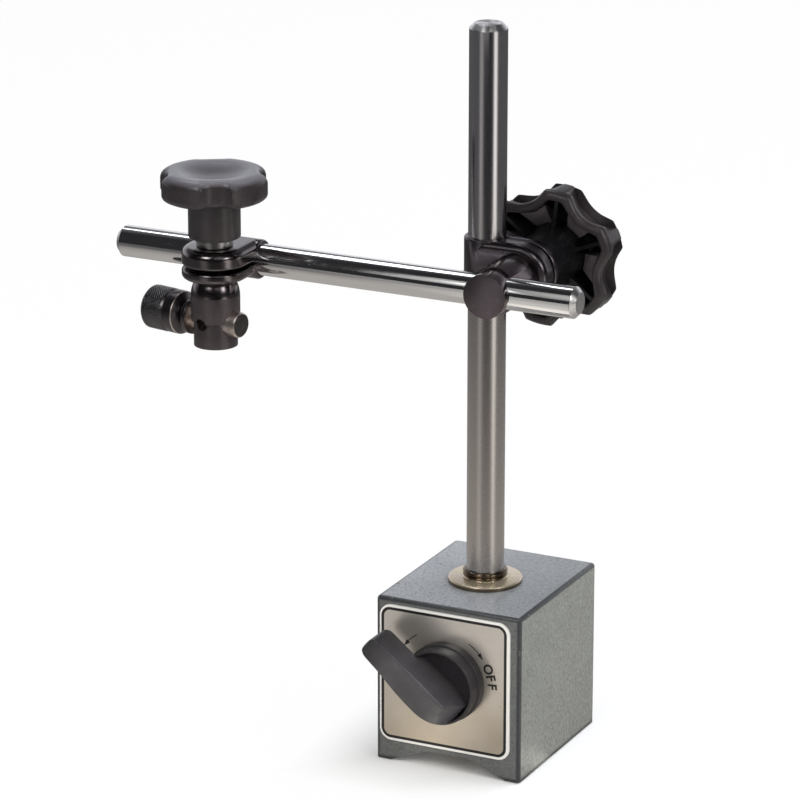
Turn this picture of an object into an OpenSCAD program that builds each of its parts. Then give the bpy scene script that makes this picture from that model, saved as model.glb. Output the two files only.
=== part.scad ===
// Magnetic base stand with a column, a cross arm and an indicator holder.
// Millimetres, +Z up, the switch faces -Y, the middle of the sole is the origin.

/* [Magnetic block] */
// Width of the block across the poles
block_width = 50; // [46:1:64]
// Depth of the block from front to back
block_depth = 58; // [54:1:80]
// Height of the block
block_height = 55; // [52:1:70]
// Rounding of the block's painted edges
block_edge = 1.2; // [0.5:0.1:2]
// Width of the sole groove at its mouth
groove_mouth = 40; // [30:1:42]
// Width of the sole groove at its roof
groove_roof = 14; // [13:0.5:20]
// Depth of the sole groove
groove_depth = 5.2; // [3:0.1:8]
// Width of the strips that part the two poles
separator_width = 12; // [10:0.5:13]
// Height of the rotor's axis above the sole
rotor_height = 30.8; // [29:0.1:32]
// Diameter of the bore that holds the rotor
rotor_bore = 30; // [26:0.5:31]
// Thickness of the discs that close the bore
bore_cover = 4; // [3:0.5:6]

/* [Nameplate] */
// Width of the nameplate
plate_width = 45.1; // [38:0.1:45.2]
// Height of the nameplate
plate_height = 45.8; // [38:0.1:47]
// Corner radius of the nameplate
plate_corner = 4; // [1:0.5:6]
// Thickness of the nameplate
plate_thickness = 0.6; // [0.4:0.1:1.5]
// Sideways offset of the nameplate
plate_shift = -0.9; // [-1:0.1:1]
// Height of the nameplate's middle
plate_middle = 30; // [29.5:0.1:30.5]

/* [Switch] */
// Diameter of the switch skirt
skirt_diameter = 25.8; // [24:0.2:30]
// Height of the switch skirt
skirt_height = 7.5; // [6:0.1:9]
// Width of the switch lever
lever_width = 8.4; // [6:0.1:9]
// Height of the lever's top above the plate
lever_height = 17; // [13:0.5:20]
// Distance from the axis to the lever's tip
lever_reach = 24.9; // [18:0.1:26]
// Direction of the lever when on, degrees up from +X
lever_angle = 141; // [120:1:150]
// Turn from on to off, degrees
switch_turn = 125; // [90:1:140]

/* [Column] */
// Diameter of the column
column_diameter = 12; // [10:0.5:14]
// Height of the column's top above the sole
column_top = 236.2; // [215:0.1:300]
// How far the column stands in front of the block's middle
column_lead = 1.5; // [0:0.1:3]
// Chamfer at the ends of the column and of the arm
rod_chamfer = 1.6; // [0.5:0.1:2]
// Diameter of the collar's flange
flange_diameter = 23.6; // [20:0.2:26]
// Thickness of the collar's flange
flange_thickness = 1.6; // [1:0.1:3]
// Height of the collar above the block
collar_height = 4.3; // [3.5:0.1:7]

/* [Arm] */
// Diameter of the cross arm
arm_diameter = 10; // [8:0.5:10.5]
// Length of the cross arm
arm_length = 159; // [150:1:200]
// Length of the arm that stands out to the right of the clamp stud
arm_right = 29; // [20:1:40]
// Height of the arm above the sole
arm_height = 158.5; // [140:0.5:170]
// How far the arm runs in front of the column
arm_lead = 23; // [23:0.5:28]

/* [Clamps] */
// Wall of the strap's ring
strap_wall = 1.2; // [1:0.1:2]
// Radius of the strap's ears
ear_radius = 10.4; // [9:0.1:12]
// Thickness of the thin ear
thin_ear = 3.3; // [2:0.1:4]
// Width of the slit between the ears
strap_slit = 1.2; // [0.8:0.1:2]
// Diameter of the clamp studs
stud_diameter = 8; // [6:0.5:8]
// Material between the ring's bore and the stud
stud_web = 2.8; // [2.4:0.1:4]
// Diameter of the eye bolt's head
eye_head = 14; // [14:0.1:16]
// Length of the eye bolt's head in front of the arm
eye_front = 6.8; // [6.4:0.1:9]
// Outer diameter of the sleeve
sleeve_diameter = 15.4; // [15:0.1:17]

/* [Star knob] */
// Number of lobes of the star knob
star_lobes = 6; // [5:1:7]
// Radius over the star knob's lobes
star_radius = 22.2; // [21:0.1:24]
// Radius in the star knob's valleys
star_valley = 19.6; // [18:0.1:20.5]
// Length of the star knob along its axis
star_length = 26; // [23:0.5:30]
// Wall of the star knob's rim
star_wall = 2.6; // [1.2:0.1:3.2]
// Direction of one star lobe, degrees up from +X
star_phase = 22; // [0:1:50]

/* [Top knob] */
// Number of lobes of the top knob
top_lobes = 4; // [3:1:6]
// Radius over the top knob's lobes
top_radius = 17.2; // [16:0.1:20]
// Depth of the top knob's scallops
top_scallop = 3; // [1:0.1:3.5]
// Diameter of the top knob's hub
top_hub = 16.4; // [14:0.1:18]
// Length of the top knob's hub
top_hub_length = 11.6; // [10:0.1:15]
// Height of the top knob's head
top_head = 9.7; // [9.5:0.1:14]
// Direction of one scallop, degrees from +X
top_phase = -59; // [-72:1:72]

/* [Holder] */
// Distance from the arm's left end to the holder stud
holder_from_end = 40; // [35:1:60]
// Diameter of the adapter rod
rod_diameter = 8; // [6:0.5:8]
// Depth of the adapter rod's axis under the arm
rod_drop = 17.9; // [17.5:0.1:24]
// Diameter of the holder's eye head
holder_head = 13.8; // [13:0.1:16]
// Length of the holder's eye head under the rod
holder_front = 7.9; // [6.5:0.1:9]
// Outer diameter of the holder bush
bush_diameter = 15.5; // [15.4:0.1:17]
// Diameter of the bush where it meets the ear
bush_top = 11.8; // [11:0.1:14]
// Turn of the holder about its stud, degrees
holder_turn = -11; // [-45:1:45]
// Diameter of the small cross hole for a pin stem
pin_hole = 4; // [3:0.5:5]
// Diameter of the jaw flange
jaw_diameter = 12; // [10:0.5:14]
// Diameter of the thumb nut over its knurl
nut_diameter = 14; // [12:0.5:18]
// Length of the knurled part of the thumb nut
nut_length = 10; // [7:0.5:15]

/* [Hidden] */
$fn = 96;
// Radial clearance of round fits that turn or slide
running_gap = 0.05;
// Gap between flat faces that turn on each other
face_gap = 0.1;
// Free space round pieces that move without guiding
free_gap = 0.3;
// Extra length of a cutting shape
cut = 1;

block_front = -block_depth / 2;
plate_front = block_front - plate_thickness;
column_y = -column_lead;
arm_y = column_y - arm_lead;
stud_x = stud_reach(column_diameter);
arm_left = stud_x + arm_right - arm_length;
holder_x = arm_left + holder_from_end;
holder_y = arm_y - stud_reach(arm_diameter);
rod_height = arm_height - rod_drop;
thin_face = strap_slit / 2 + thin_ear;
star_washer_thickness = 1.2;
arm_washer_thickness = 2.9;
star_seat = column_y + thin_face + star_washer_thickness + face_gap;
top_seat = arm_height + ring_radius(arm_diameter) + arm_washer_thickness + face_gap;
sleeve_length = arm_lead - ring_radius(column_diameter) - face_gap;
bush_length = rod_drop - thin_face - face_gap;
insert_radius = 5.5;
insert_length = 13;
stud_run = 15;
shaft_radius = 4;
tang_radius = 2.2;
tang_height = 12;
journal_radius = 3;
rotor_radius = rotor_bore / 2 - free_gap;
rotor_end = block_depth / 2 - bore_cover - free_gap;
cap_thickness = 3;
stop_radius = 10;
stop_pin_radius = 1.5;
stop_angle = 90 - switch_turn / 2;
spigot_radius = 4;
spigot_end = rotor_height + rotor_bore / 2 + 1.5;
jaw_start = 8;
jaw_width = 3;
jaw_bevel = 1.5;
nut_shoulder = 4;
jaw_thread = 2.5;

// Distance from a clamped rod's axis to the stud beside it.
function stud_reach(rod) = rod / 2 + stud_web + stud_diameter / 2;

// Outer radius of the ring that closes on a rod.
function ring_radius(rod) = rod / 2 + running_gap + strap_wall;

// A cylinder along Y between two stations.
module along_y(radius, from, to) {
    translate([0, from, 0])
        rotate([-90, 0, 0])
            cylinder(r = radius, h = to - from);
}

// A cylinder along X, centred.
module along_x(radius, length) {
    rotate([0, 90, 0])
        cylinder(r = radius, h = length, center = true);
}

// A flat rectangle with round corners, centred.
module rounded_rectangle(width, height, corner) {
    square([width - 2 * corner, height], center = true);
    square([width, height - 2 * corner], center = true);
    for (x = [-1, 1], y = [-1, 1])
        translate([x * (width / 2 - corner), y * (height / 2 - corner)])
            circle(r = corner);
}

// The outside of the block: round upright and top edges, a groove along the sole.
module block() {
    difference() {
        intersection() {
            linear_extrude(block_height)
                rounded_rectangle(block_width, block_depth, block_edge);
            rotate([90, 0, 0])
                linear_extrude(block_depth + cut, center = true)
                    rounded_rectangle(block_width, 2 * block_height, block_edge);
            rotate([90, 0, 90])
                linear_extrude(block_width + cut, center = true)
                    rounded_rectangle(block_depth, 2 * block_height, block_edge);
        }
        rotate([90, 0, 0])
            linear_extrude(block_depth + cut, center = true)
                polygon([
                    [-groove_mouth / 2, 0], [-groove_mouth / 2, -cut],
                    [groove_mouth / 2, -cut], [groove_mouth / 2, 0],
                    [groove_roof / 2, groove_depth], [-groove_roof / 2, groove_depth]]);
    }
}

// The bore of the rotor, right through the block.
module rotor_hole() {
    translate([0, 0, rotor_height])
        along_y(rotor_bore / 2, -block_depth, block_depth);
}

// One iron half of the block.
module pole(side) {
    width = (block_width - separator_width) / 2;
    difference() {
        intersection() {
            block();
            translate([side * (separator_width + width) / 2, 0, block_height / 2])
                cube([width, block_depth + cut, block_height + cut], center = true);
        }
        rotor_hole();
    }
}

module pole_left() {
    color("slategray") pole(-1);
}

module pole_right() {
    color("slategray") pole(1);
}

// The strip between the poles, above or below the bore.
module separator(from, to) {
    difference() {
        intersection() {
            block();
            translate([-separator_width / 2, -block_depth / 2 - cut, from])
                cube([separator_width, block_depth + 2 * cut, to - from]);
        }
        rotor_hole();
    }
}

module separator_top() {
    color("goldenrod")
        difference() {
            separator(rotor_height, block_height + cut);
            translate([0, column_y, spigot_end - face_gap])
                cylinder(r = spigot_radius + running_gap, h = block_height);
        }
}

module separator_sole() {
    color("goldenrod") separator(0, rotor_height);
}

// The disc that closes the front of the bore and carries the shaft and the stop pin.
module front_bearing() {
    color("goldenrod")
        translate([0, 0, rotor_height])
            difference() {
                along_y(rotor_bore / 2, block_front, block_front + bore_cover);
                along_y(shaft_radius + running_gap, block_front - cut, block_front + bore_cover + cut);
                rotate([0, -stop_angle, 0])
                    translate([stop_radius, 0, 0])
                        along_y(stop_pin_radius, block_front + cut, block_front + bore_cover + cut);
            }
}

// The disc that closes the back of the bore, with a blind hole for the shaft's end.
module rear_plug() {
    color("goldenrod")
        translate([0, 0, rotor_height])
            difference() {
                along_y(rotor_bore / 2, block_depth / 2 - bore_cover, block_depth / 2);
                along_y(journal_radius + running_gap, block_depth / 2 - bore_cover - cut,
                    block_depth / 2 - cut);
            }
}

module stop_pin() {
    color("silver")
        translate([0, 0, rotor_height])
            rotate([0, -stop_angle, 0])
                translate([stop_radius, 0, 0])
                    along_y(stop_pin_radius, block_front + cut, -rotor_end + cap_thickness - free_gap);
}

// The printed plate on the front face.
module nameplate() {
    color("lightgray")
        translate([0, block_front, 0])
            rotate([90, 0, 0])
                linear_extrude(plate_thickness)
                    difference() {
                        translate([plate_shift, plate_middle])
                            rounded_rectangle(plate_width, plate_height, plate_corner);
                        translate([0, rotor_height])
                            circle(r = shaft_radius + 1);
                    }
}

// The plated collar the column stands in: a flange, a neck and two beads.
module column_collar() {
    bead = 0.45;
    neck = column_diameter / 2 + 0.7;
    bore = column_diameter / 2 + running_gap;
    color("gold")
        translate([0, column_y, block_height])
            rotate_extrude()
                difference() {
                    union() {
                        square([flange_diameter / 2, flange_thickness]);
                        square([neck, collar_height]);
                        translate([neck, collar_height - bead])
                            circle(r = bead);
                        translate([neck, collar_height - 4 * bead])
                            circle(r = bead);
                    }
                    translate([-cut, -cut])
                        square([bore + cut, collar_height + 2 * cut]);
                }
}

// Side view of the switch lever: a flat top, a sloped inner end, a small bevel at the tip.
module lever_side() {
    polygon([
        [-skirt_diameter / 2 + 2.5, skirt_height - 0.5], [-skirt_diameter / 4, lever_height],
        [lever_reach - 0.8, lever_height], [lever_reach, lever_height - 0.8],
        [lever_reach, skirt_height - 0.7], [skirt_diameter / 2 - 1, skirt_height - 0.7],
        [skirt_diameter / 2 - 2.5, skirt_height - 0.5], [skirt_diameter / 2 - 2.5, 1.5],
        [-skirt_diameter / 2 + 2.5, 1.5]]);
}

// The moulded switch: a dished round skirt with a lever across it.
module switch_knob() {
    rim = 2.2;
    dish = 5;
    lever_offset = 1.6;
    color("dimgray")
        translate([0, plate_front - 2 * face_gap, rotor_height])
            difference() {
                union() {
                    difference() {
                        along_y(skirt_diameter / 2, -skirt_height, 0);
                        along_y(skirt_diameter / 2 - rim, -skirt_height - cut, -skirt_height + dish);
                    }
                    rotate([0, -lever_angle, 0])
                        translate([0, 0, lever_offset])
                            rotate([180, 0, 0])
                                linear_extrude(lever_width, center = true)
                                    lever_side();
                }
                along_y(shaft_radius, -1.2, cut);
                along_y(tang_radius, -tang_height, cut);
            }
}

// The shaft: front tang in the switch, bearing length, magnet length, rear journal.
module rotor_shaft() {
    knob_back = plate_front - 2 * face_gap;
    plug_face = block_depth / 2 - bore_cover;
    color("silver")
        translate([0, 0, rotor_height]) {
            along_y(tang_radius, knob_back - tang_height, knob_back - 1.2);
            along_y(shaft_radius, knob_back - 1.2, plug_face - face_gap);
            along_y(journal_radius, plug_face - face_gap, plug_face + bore_cover - 1.2);
        }
}

// The part of the rotor between two upright planes.
module rotor_slice(from, to) {
    translate([0, 0, rotor_height])
        intersection() {
            along_y(rotor_radius, -rotor_end + cap_thickness, rotor_end);
            translate([from, -block_depth, -rotor_bore])
                cube([to - from, 2 * block_depth, 2 * rotor_bore]);
        }
}

module rotor_magnet() {
    color("darkslategray")
        difference() {
            rotor_slice(-separator_width / 2, separator_width / 2);
            translate([0, 0, rotor_height])
                along_y(shaft_radius, -block_depth, block_depth);
        }
}

// The two iron segments beside the magnet.
module rotor_segments() {
    color("gray") {
        rotor_slice(-rotor_bore, -separator_width / 2);
        rotor_slice(separator_width / 2, rotor_bore);
    }
}

// The flat shape of the stop slot: a part of a ring that leaves room for the pin at both ends.
module stop_slot() {
    slot = stop_pin_radius + free_gap;
    room = asin(slot / stop_radius) + 1;
    far = 2 * rotor_bore;
    intersection() {
        difference() {
            circle(r = stop_radius + slot);
            circle(r = stop_radius - slot);
        }
        polygon([
            [0, 0], far * [cos(-room), sin(-room)], far * [cos(switch_turn / 2), sin(switch_turn / 2)],
            far * [cos(switch_turn + room), sin(switch_turn + room)]]);
    }
}

// The disc at the front of the rotor whose slot runs on the stop pin.
module rotor_cap() {
    color("goldenrod")
        translate([0, -rotor_end + cap_thickness, rotor_height])
            rotate([90, 0, 0])
                linear_extrude(cap_thickness)
                    difference() {
                        circle(r = rotor_radius);
                        circle(r = shaft_radius);
                        rotate(stop_angle)
                            stop_slot();
                    }
}

module column() {
    color("silver")
        translate([0, column_y, 0]) {
            translate([0, 0, spigot_end])
                cylinder(r = spigot_radius, h = block_height + face_gap - spigot_end);
            translate([0, 0, block_height + face_gap])
                cylinder(d = column_diameter, h = column_top - rod_chamfer - block_height - face_gap);
            translate([0, 0, column_top - rod_chamfer])
                cylinder(d1 = column_diameter, d2 = column_diameter - 2 * rod_chamfer, h = rod_chamfer);
        }
}

// A split ring round a rod along Z with two ears toward +X and a stud hole along Y.
module strap(rod) {
    ring = ring_radius(rod);
    reach = stud_reach(rod);
    difference() {
        union() {
            cylinder(r = ring, h = 2 * ear_radius, center = true);
            translate([0, -ring, 0])
                ear(reach, ring - strap_slit / 2);
            translate([0, strap_slit / 2, 0])
                ear(reach, thin_ear);
        }
        cylinder(d = rod + 2 * running_gap, h = 2 * ear_radius + cut, center = true);
        translate([0, -strap_slit / 2, -ear_radius - cut])
            cube([reach + ear_radius + cut, strap_slit, 2 * ear_radius + 2 * cut]);
        translate([reach, 0, 0])
            along_y(stud_diameter / 2 + running_gap, -2 * ring, 2 * ring);
    }
}

// One ear: a plate from the ring's middle to a round end about the stud.
module ear(reach, thickness) {
    rotate([-90, 0, 0])
        linear_extrude(thickness) {
            translate([0, -ear_radius])
                square([reach, 2 * ear_radius]);
            translate([reach, 0])
                circle(r = ear_radius);
        }
}

// A bolt along +Y whose head and shank hold a rod along X.
module eye(head, front, rod, stud_end) {
    shank = rod / 2 + 3;
    difference() {
        union() {
            along_y(head / 2, -front, face_gap);
            along_y(head / 2 - 0.7, face_gap, shank);
            along_y(stud_diameter / 2, shank, stud_end);
        }
        along_x(rod / 2 + running_gap, 2 * head);
    }
}

// The room a sleeve leaves for an eye bolt along +Y and the rod it holds.
module eye_room(head, rod, length) {
    shank = rod / 2 + 3 + free_gap;
    along_y(head / 2 - 0.7 + running_gap, -cut, shank);
    along_y(stud_diameter / 2 + running_gap, shank - cut, length + cut);
    along_x(rod / 2 + running_gap, 3 * head);
}

module column_strap() {
    color("dimgray")
        translate([0, column_y, arm_height])
            strap(column_diameter);
}

module star_washer() {
    color("gray")
        translate([stud_x, column_y + thin_face, arm_height])
            difference() {
                along_y(stud_diameter / 2 + 2.2, 0, star_washer_thickness);
                along_y(stud_diameter / 2 + 0.2, -cut, star_washer_thickness + cut);
            }
}

module eye_bolt() {
    color("dimgray")
        translate([stud_x, arm_y, arm_height])
            eye(eye_head, eye_front, arm_diameter, star_seat + stud_run - arm_y);
}

module clamp_sleeve() {
    color("dimgray")
        translate([stud_x, arm_y, arm_height])
            difference() {
                along_y(sleeve_diameter / 2, 4 * face_gap, sleeve_length);
                eye_room(eye_head, arm_diameter, sleeve_length);
            }
}

// The outline of a lobed knob: a circle with a scallop between every two lobes.
module lobed(lobes, radius, scallop_radius, scallop_distance, phase) {
    difference() {
        circle(r = radius);
        for (i = [0:lobes - 1])
            rotate(phase + i * 360 / lobes)
                translate([scallop_distance, 0])
                    circle(r = scallop_radius);
    }
}

// The hollow ribbed knob, its axis along +Z, its hub at the bottom, one lobe along +X.
module star_body() {
    rim_start = 10.8;
    floor_height = star_length - 6;
    hub_front = 8.2;
    hub_chamfer = 0.8;
    hub_back = 10.5;
    scallop = 9.6;
    distance = star_valley + scallop;
    rib_length = star_radius - star_wall - hub_front + 0.4;
    crown = 60;
    step = 180 / star_lobes;
    difference() {
        union() {
            difference() {
                intersection() {
                    translate([0, 0, rim_start])
                        linear_extrude(star_length - rim_start)
                            lobed(star_lobes, star_radius, scallop, distance, step);
                    translate([0, 0, star_length - crown])
                        sphere(r = crown, $fn = 128);
                }
                translate([0, 0, rim_start - cut])
                    linear_extrude(floor_height - rim_start + cut)
                        lobed(star_lobes, star_radius - star_wall, scallop + star_wall, distance, step);
            }
            cylinder(r1 = hub_front - hub_chamfer, r2 = hub_front, h = hub_chamfer);
            translate([0, 0, hub_chamfer])
                cylinder(r1 = hub_front, r2 = hub_back, h = floor_height - hub_chamfer);
            for (i = [0:star_lobes - 1])
                rotate(i * 360 / star_lobes)
                    translate([hub_front, -0.6, rim_start + 1.5])
                        cube([rib_length, 1.2, floor_height - rim_start - 1.5]);
        }
        translate([0, 0, -cut])
            cylinder(r = insert_radius, h = insert_length + cut);
        cylinder(r = stud_diameter / 2 + 0.4, h = stud_run + 2);
    }
}

module star_knob() {
    color("dimgray")
        translate([stud_x, star_seat, arm_height])
            rotate([0, -star_phase, 0])
                rotate([-90, 0, 0])
                    star_body();
}

// A threaded brass insert along +Z.
module insert() {
    difference() {
        cylinder(r = insert_radius, h = insert_length);
        translate([0, 0, -cut])
            cylinder(r = stud_diameter / 2 + running_gap, h = insert_length + 2 * cut);
    }
}

module star_insert() {
    color("goldenrod")
        translate([stud_x, star_seat, arm_height])
            rotate([-90, 0, 0])
                insert();
}

module cross_arm() {
    color("silver")
        translate([arm_left, arm_y, arm_height])
            rotate([0, 90, 0]) {
                cylinder(d1 = arm_diameter - 2 * rod_chamfer, d2 = arm_diameter, h = rod_chamfer);
                translate([0, 0, rod_chamfer])
                    cylinder(d = arm_diameter, h = arm_length - 2 * rod_chamfer);
                translate([0, 0, arm_length - rod_chamfer])
                    cylinder(d1 = arm_diameter, d2 = arm_diameter - 2 * rod_chamfer, h = rod_chamfer);
            }
}

module arm_strap() {
    color("dimgray")
        translate([holder_x, arm_y, arm_height])
            rotate([-90, 0, -90])
                strap(arm_diameter);
}

module arm_washer() {
    color("gray")
        translate([holder_x, holder_y, arm_height + ring_radius(arm_diameter)])
            difference() {
                cylinder(r = stud_diameter / 2 + 1.8, h = arm_washer_thickness);
                translate([0, 0, -cut])
                    cylinder(r = stud_diameter / 2 + 0.2, h = arm_washer_thickness + 2 * cut);
            }
}

// Brings a bolt along +Y upright at the holder stud, its rod along the holder's turn.
module at_holder() {
    translate([holder_x, holder_y, rod_height])
        rotate([90, 0, holder_turn])
            children();
}

// The small hole for a pin stem, half in the head and half in the bush.
module pin_room() {
    cylinder(d = pin_hole, h = 3 * bush_diameter, center = true);
}

module holder_eye() {
    color("dimgray")
        at_holder()
            difference() {
                eye(holder_head, holder_front, rod_diameter, top_seat + stud_run - rod_height);
                pin_room();
            }
}

// The bush that pushes the rod up: straight below, domed toward the ear.
module holder_bush() {
    straight = bush_length - 6;
    inset = (bush_diameter - bush_top) / 2;
    dome = (36 + inset * inset) / (2 * inset);
    color("dimgray")
        at_holder()
            difference() {
                rotate([-90, 0, 0])
                    rotate_extrude()
                        intersection() {
                            translate([0, 4 * face_gap])
                                square([bush_diameter / 2, bush_length - 4 * face_gap]);
                            union() {
                                square([bush_diameter / 2, straight]);
                                translate([bush_diameter / 2 - dome, straight])
                                    circle(r = dome);
                            }
                        }
                eye_room(holder_head, rod_diameter, bush_length);
                pin_room();
            }
}

// Half section of the top knob: hub, head with round edges, dished top.
module top_section() {
    round_edge = 3;
    side = top_radius - round_edge;
    low = top_hub_length + 0.8;
    high = top_hub_length + top_head;
    dish_width = 11.5;
    dish_depth = 2;
    dish = (dish_width * dish_width + dish_depth * dish_depth) / (2 * dish_depth);
    difference() {
        union() {
            square([top_hub / 2, top_hub_length + cut]);
            polygon([
                [0, top_hub_length], [top_hub / 2, top_hub_length], [side, low], [side, high - cut],
                [0, high - cut]]);
            translate([0, low + round_edge])
                square([top_radius, high - low - 2 * round_edge]);
            translate([0, low + cut])
                square([side, high - low - cut]);
            for (station = [low, high - 2 * round_edge])
                translate([side, station + round_edge])
                    circle(r = round_edge);
        }
        translate([0, high - dish_depth + dish])
            circle(r = dish);
    }
}

module top_knob() {
    scallop = 6;
    color("dimgray")
        translate([holder_x, holder_y, top_seat])
            difference() {
                rotate_extrude()
                    top_section();
                for (i = [0:top_lobes - 1])
                    rotate([0, 0, top_phase + i * 360 / top_lobes])
                        translate([top_radius - top_scallop + scallop, 0, top_hub_length - cut])
                            cylinder(r = scallop, h = top_head + 2 * cut);
                translate([0, 0, -cut])
                    cylinder(r = insert_radius, h = insert_length + cut);
                cylinder(r = stud_diameter / 2 + 0.4, h = stud_run + 1.5);
            }
}

module top_insert() {
    color("goldenrod")
        translate([holder_x, holder_y, top_seat])
            insert();
}

// Places a piece turned about +Z along the adapter rod, +Z pointing to the jaw.
module along_rod() {
    translate([holder_x, holder_y, rod_height])
        rotate([0, 0, holder_turn])
            rotate([0, -90, 0])
                children();
}

// The plain rod with a bevelled jaw flange and a thread for the nut.
module adapter_rod() {
    rod_back = 10.3;
    chamfer = 0.8;
    rod = rod_diameter / 2;
    jaw = jaw_diameter / 2;
    jaw_end = jaw_start + jaw_width;
    color("dimgray")
        along_rod()
            rotate_extrude()
                polygon([
                    [0, -rod_back], [rod - chamfer, -rod_back], [rod, chamfer - rod_back], [rod, jaw_start],
                    [jaw, jaw_start], [jaw, jaw_end - jaw_bevel], [jaw - jaw_bevel, jaw_end],
                    [jaw_thread, jaw_end], [jaw_thread, jaw_end + nut_shoulder + nut_length - 3],
                    [0, jaw_end + nut_shoulder + nut_length - 3]]);
}

// The nut whose bevelled shoulder closes the jaw.
module thumb_nut() {
    chamfer = 0.7;
    jaw = jaw_diameter / 2;
    nut = nut_diameter / 2;
    from = jaw_start + jaw_width + 4 * face_gap;
    step = from + nut_shoulder;
    end = step + nut_length;
    color("dimgray")
        along_rod()
            difference() {
                rotate_extrude()
                    polygon([
                        [0, from], [jaw - jaw_bevel, from], [jaw, from + jaw_bevel], [jaw, step],
                        [nut - chamfer, step], [nut, step + chamfer], [nut, end - chamfer],
                        [nut - chamfer, end], [0, end]]);
                translate([0, 0, from - cut])
                    cylinder(r = jaw_thread + running_gap, h = nut_shoulder + nut_length - 2 + cut);
            }
}

pole_left();
pole_right();
separator_top();
separator_sole();
front_bearing();
rear_plug();
stop_pin();
nameplate();
column_collar();
switch_knob();
rotor_shaft();
rotor_magnet();
rotor_segments();
rotor_cap();
column();
column_strap();
star_washer();
eye_bolt();
clamp_sleeve();
star_knob();
star_insert();
cross_arm();
arm_strap();
arm_washer();
holder_eye();
holder_bush();
top_knob();
top_insert();
adapter_rod();
thumb_nut();
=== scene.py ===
import math
import bmesh
import bpy
from mathutils import Matrix, Vector


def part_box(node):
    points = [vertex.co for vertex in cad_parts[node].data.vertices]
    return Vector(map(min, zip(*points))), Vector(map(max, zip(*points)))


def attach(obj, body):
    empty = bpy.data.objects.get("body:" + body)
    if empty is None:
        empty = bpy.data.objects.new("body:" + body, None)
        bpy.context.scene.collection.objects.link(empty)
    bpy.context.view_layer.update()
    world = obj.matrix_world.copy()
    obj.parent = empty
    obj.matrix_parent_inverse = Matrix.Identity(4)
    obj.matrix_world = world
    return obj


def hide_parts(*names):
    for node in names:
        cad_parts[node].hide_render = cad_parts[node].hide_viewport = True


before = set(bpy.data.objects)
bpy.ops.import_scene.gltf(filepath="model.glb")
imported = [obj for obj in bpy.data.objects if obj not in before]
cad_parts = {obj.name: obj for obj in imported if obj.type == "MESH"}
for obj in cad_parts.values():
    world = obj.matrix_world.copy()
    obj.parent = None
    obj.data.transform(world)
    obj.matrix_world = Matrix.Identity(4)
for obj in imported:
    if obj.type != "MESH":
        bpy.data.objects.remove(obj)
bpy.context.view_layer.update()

# The camera.
# It stands where the photograph was taken: to the right of the switch, a little above it,
# far away behind a long lens, so that the column's edges stay nearly parallel.
camera_place = (0.550384, -1.184962, 0.538871)
camera_dip = 17.99
camera_swing = 26.13
camera = bpy.data.objects.new("camera", bpy.data.cameras.new("camera"))
camera.location = camera_place
camera.rotation_euler = (math.radians(90 - camera_dip), 0, math.radians(camera_swing))
camera.data.sensor_width = 36
camera.data.lens = 196.89
camera.data.clip_start = 0.01
camera.data.clip_end = 50
scene = bpy.context.scene
scene.collection.objects.link(camera)
scene.camera = camera
scene.view_settings.view_transform = "Standard"


# The studio.
# A pale table in a white surround, lit by four soft lamps round the stand. A fifth lamp, the cards,
# the dark room and the table's bright and dark sectors are there only for the metal to mirror.
class Shade:
    """A value in a node tree: arithmetic on it adds Math nodes, and add() adds any other node."""

    def __init__(self, tree, socket=None):
        self.tree = tree
        self.socket = socket

    def add(self, kind, settings=None, inputs=None, output=0):
        node = self.tree.nodes.new(kind)
        for name, value in (settings or {}).items():
            setattr(node, name, value)
        for name, value in (inputs or {}).items():
            if isinstance(value, Shade):
                self.tree.links.new(value.socket, node.inputs[name])
            else:
                node.inputs[name].default_value = value
        return Shade(self.tree, node.outputs[output] if node.outputs else None)

    def math(self, operation, first, second=0.0):
        return self.add("ShaderNodeMath", {"operation": operation}, {0: first, 1: second})

    def __add__(self, other):
        return self.math("ADD", self, other)

    def __sub__(self, other):
        return self.math("SUBTRACT", self, other)

    def __rsub__(self, other):
        return self.math("SUBTRACT", other, self)

    def __mul__(self, other):
        return self.math("MULTIPLY", self, other)

    def __pow__(self, other):
        return self.math("POWER", self, other)

    def __rpow__(self, other):
        return self.math("POWER", other, self)

    __radd__ = __add__
    __rmul__ = __mul__

    def rise(self, low, high):
        """0 below low, 1 above high, a straight ramp between."""
        return self.add("ShaderNodeMapRange", None, {"Value": self, "From Min": low, "From Max": high})

    def tint(self, low, high):
        """A colour between two colours, with this value as the share of the second."""
        return self.add("ShaderNodeMix", {"data_type": "RGBA"}, {0: self, 6: low, 7: high}, 2)


def background_rays(here):
    """1 for the rays that should meet a white surround: seen directly, mirrored or through glass."""
    rays = [here.add("ShaderNodeLightPath", None, None, name)
            for name in ("Is Camera Ray", "Is Glossy Ray", "Is Transmission Ray")]
    return (rays[0] + rays[1] + rays[2]).rise(0, 1)


def studio_surround(level):
    world = bpy.data.worlds.new("surround")
    world.use_nodes = True
    tree = world.node_tree
    tree.nodes.clear()
    here = Shade(tree)
    strength = background_rays(here) * (1 - level) + level
    sky = here.add("ShaderNodeBackground", None, {"Color": (1, 1, 1, 1), "Strength": strength})
    here.add("ShaderNodeOutputWorld", None, {"Surface": sky})
    scene.world = world


def stage_thing(name, mesh, height):
    """A thing of the stage with an empty material, and the place on it in metres."""
    thing = bpy.data.objects.new(name, mesh)
    thing.location.z = height
    scene.collection.objects.link(thing)
    material = bpy.data.materials.new(name)
    material.use_nodes = True
    material.node_tree.nodes.clear()
    mesh.materials.append(material)
    return thing, Shade(material.node_tree).add("ShaderNodeTexCoord", None, None, "Object")


def stage_sheet(name, height, reach):
    """A square sheet that goes as far as reach on each side."""
    mesh = bpy.data.meshes.new(name)
    corners = [(x * reach, y * reach, 0) for x, y in ((-1, -1), (1, -1), (1, 1), (-1, 1))]
    mesh.from_pydata(corners, [], [(0, 1, 2, 3)])
    return stage_thing(name, mesh, height)


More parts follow.
